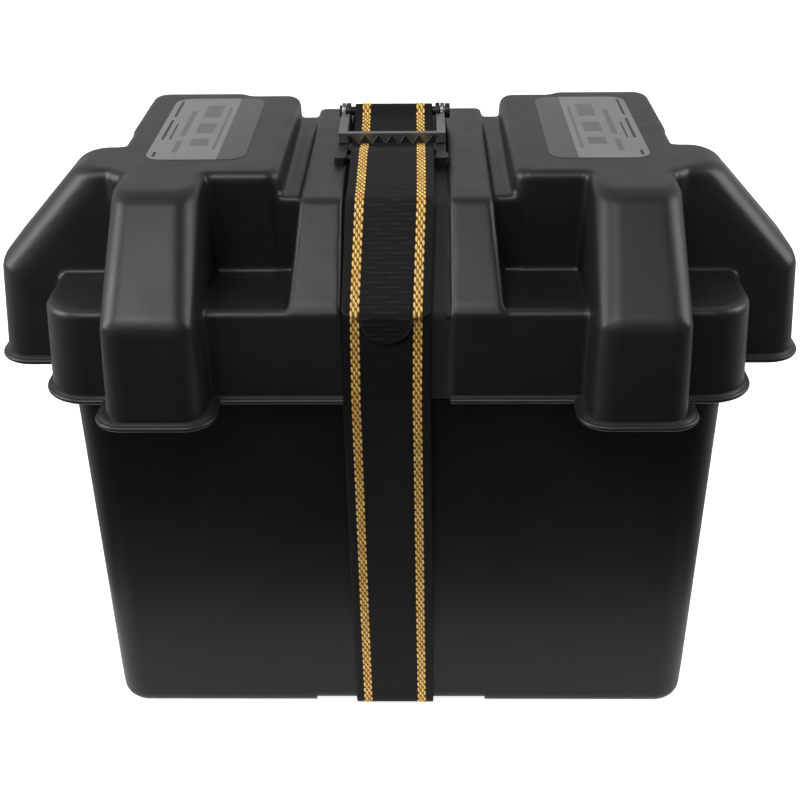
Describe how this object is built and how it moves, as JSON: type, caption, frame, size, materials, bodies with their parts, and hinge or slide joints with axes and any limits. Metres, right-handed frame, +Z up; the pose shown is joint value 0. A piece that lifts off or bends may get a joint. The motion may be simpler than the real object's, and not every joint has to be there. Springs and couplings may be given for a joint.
{
  "type": "battery box",
  "caption": "Moulded battery box: a tapered tub, a lift-off lid with cable hoods, and a webbing strap held by a toothed clamp buckle.",
  "frame": {"origin": "middle of the tub's base, on the surface that the box stands on", "axes": "+Z up, +X along the box's length to the right seen from the front, -Y towards the front, where the two big cable hoods are"},
  "size_m": [0.3682, 0.2479, 0.2679],
  "materials": {
    "moulded_plastic": "satin, faintly textured",
    "label_film": "matte grey film",
    "webbing": "ribbed weave with two golden stripes",
    "thread": "matte",
    "buckle_plastic": "satin",
    "pin_steel": "black oxide"
  },
  "bodies": {
    "tub": {"box_tub": "moulded_plastic", "strap_bottom_run": "webbing", "strap_front_run": "webbing", "strap_back_run": "webbing"},
    "lid": {"lid_shell": "moulded_plastic", "label_left": "label_film", "label_right": "label_film", "strap_top_front": "webbing", "strap_top_back": "webbing", "strap_tail": "webbing", "strap_stitching": "thread", "buckle_frame": "buckle_plastic", "buckle_pin": "pin_steel"},
    "clamp": {"buckle_clamp": "buckle_plastic"}
  },
  "joints": [
    {"name": "lid_lift", "type": "slide", "parent": "tub", "child": "lid", "axis": [0, 0, 1], "range_m": [0, 0.1], "deforming": ["strap_front_run", "strap_back_run"]},
    {"name": "clamp_pivot", "type": "hinge", "parent": "lid", "child": "clamp", "pos_m": [-0.003, 0.035, 0.264], "axis": [-1, 0, 0], "range_deg": [0, 95]}
  ]
}
